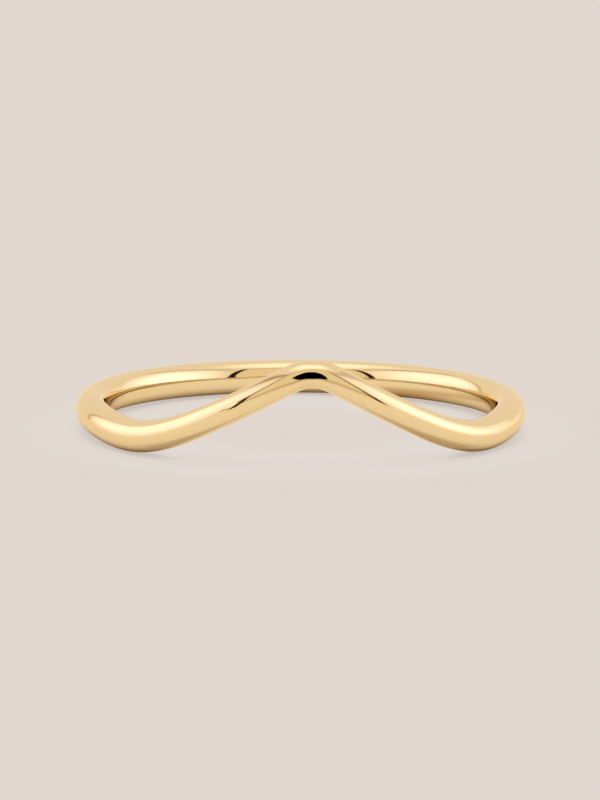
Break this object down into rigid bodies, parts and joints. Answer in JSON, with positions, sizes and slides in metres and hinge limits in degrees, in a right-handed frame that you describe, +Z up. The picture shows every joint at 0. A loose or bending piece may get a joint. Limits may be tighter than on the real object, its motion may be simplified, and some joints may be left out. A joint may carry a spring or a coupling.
{
  "type": "v band ring",
  "caption": "Plain polished yellow gold finger ring: one slim rounded band that rises to a soft point in front like a wishbone and lies on its side.",
  "frame": {"origin": "on the surface that the ring lies on, on the axis of the finger hole", "axes": "+Z up along the finger hole, +X to the right, with the point of the V at -Y and the plain back at +Y; the ring is the same left and right of X = 0"},
  "size_m": [0.02, 0.0199, 0.0047],
  "materials": {
    "polished_gold": "mirror polished yellow gold"
  },
  "bodies": {
    "root": {"band": "polished_gold"}
  },
  "joints": []
}
